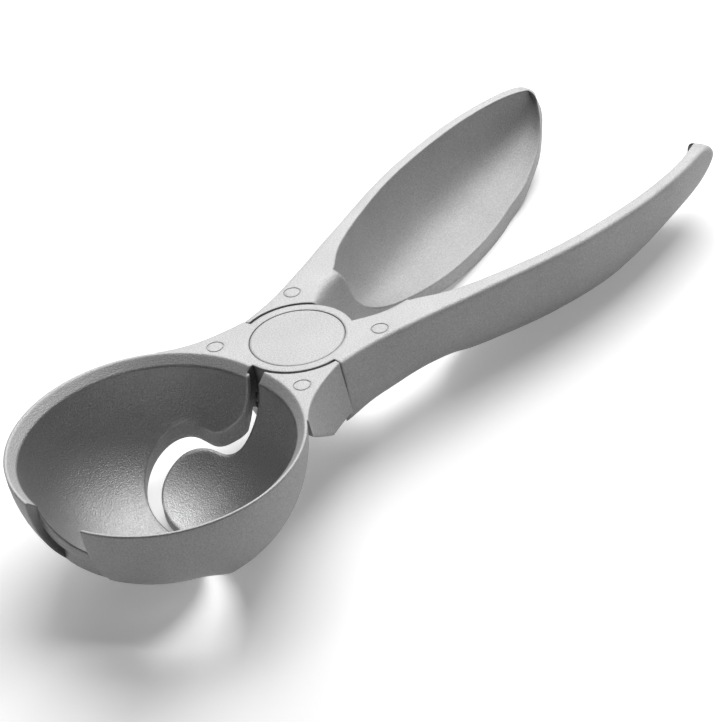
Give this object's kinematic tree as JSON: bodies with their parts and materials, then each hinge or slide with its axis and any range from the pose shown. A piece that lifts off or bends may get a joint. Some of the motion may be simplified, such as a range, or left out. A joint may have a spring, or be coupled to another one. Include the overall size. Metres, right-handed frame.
{
  "type": "lever ice cream scoop",
  "caption": "Scissor-like ice cream scoop: two crossing levers, each with half of a round bowl and a hollow leaf-shaped grip, on a sprung pivot.",
  "frame": {"origin": "where the pivot axis meets the flat top plane of the tool", "axes": "+X from the pivot towards the grip tips, +Z along the pivot out of the bowl mouth, +Y to lever A's bowl half"},
  "size_m": [0.1951, 0.0688, 0.032],
  "materials": {
    "cast_lever_a": "blasted die-cast, matte",
    "cast_lever_b": "blasted die-cast, matte",
    "cover": "matte, pressed flush",
    "screw": "turned",
    "sleeve": "ground",
    "bush": "moulded, natural",
    "washer": "moulded, natural",
    "spring": "drawn wire",
    "retainer": "stamped",
    "nut": "plain",
    "bottom_plug": "matte, pressed flush"
  },
  "bodies": {
    "lever_a_body": {"lever_a": "cast_lever_a", "cover_disc": "cover", "pivot_screw": "screw", "pivot_sleeve": "sleeve", "thrust_washer": "washer", "torsion_spring": "spring", "retaining_washer": "retainer", "lock_nut": "nut"},
    "lever_b_body": {"lever_b": "cast_lever_b", "bearing_bush": "bush", "bottom_cap": "bottom_plug"}
  },
  "joints": [
    {"name": "pivot", "type": "hinge", "parent": "lever_a_body", "child": "lever_b_body", "pos_m": [0, 0, 0], "axis": [0, 0, 1], "range_deg": [-6, 0], "stiffness_Nm_per_rad": 1.5, "springref_deg": 20.05, "deforming": ["torsion_spring"]}
  ]
}
